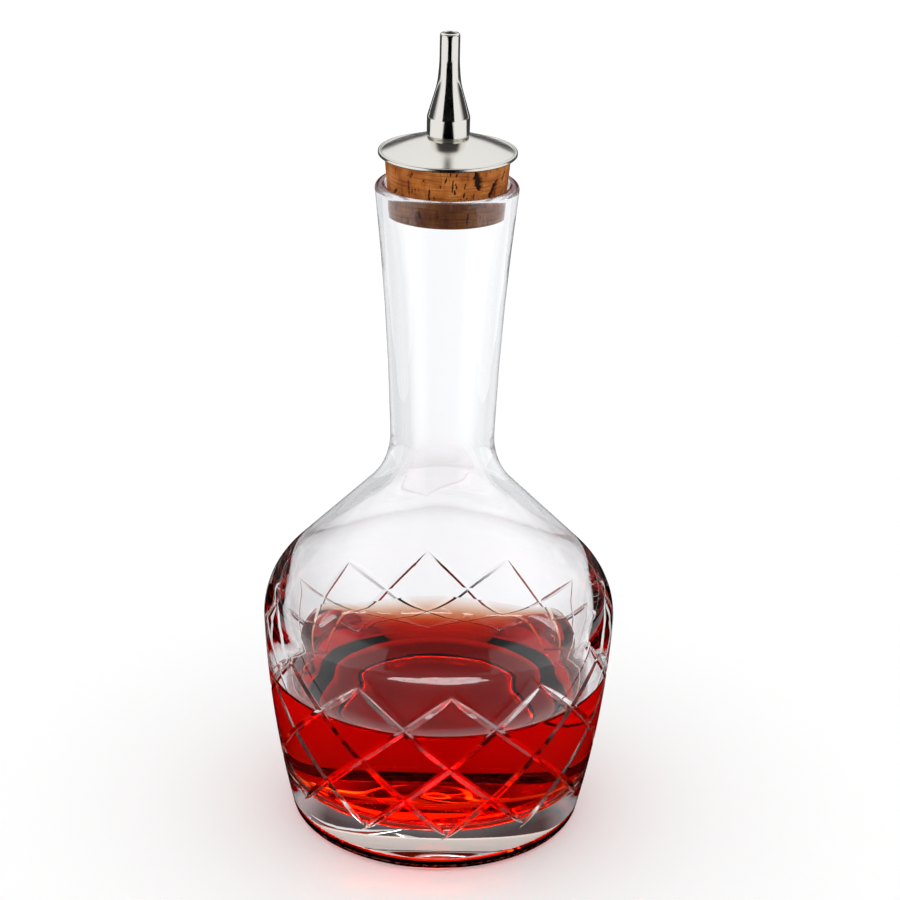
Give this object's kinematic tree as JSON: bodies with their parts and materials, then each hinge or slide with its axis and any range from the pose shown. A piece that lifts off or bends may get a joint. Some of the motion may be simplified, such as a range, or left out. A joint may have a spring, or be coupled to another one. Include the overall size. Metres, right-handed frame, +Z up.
{
  "type": "bitters bottle",
  "caption": "Heavy clear glass bottle with a cut lattice round its body, a flared neck and a little bitters in it, shut by a cork under a metal cap with a dasher spout.",
  "frame": {"origin": "centre of the ring the bottle stands on", "axes": "+Z up along the bottle's axis; the front faces -Y, where two of the lattice's upper ends meet 4.5 degrees towards +X"},
  "size_m": [0.0698, 0.0698, 0.16],
  "materials": {
    "glass": "clear polished crystal glass",
    "bitters": "clear orange-red liquid",
    "cork": "natural cork with dark pores",
    "metal": "polished, slightly warm",
    "tube": "smooth, pale"
  },
  "bodies": {
    "root": {"bottle": "glass", "bitters": "bitters", "cork": "cork", "cap": "metal", "spout": "metal", "tube": "tube"}
  },
  "joints": []
}
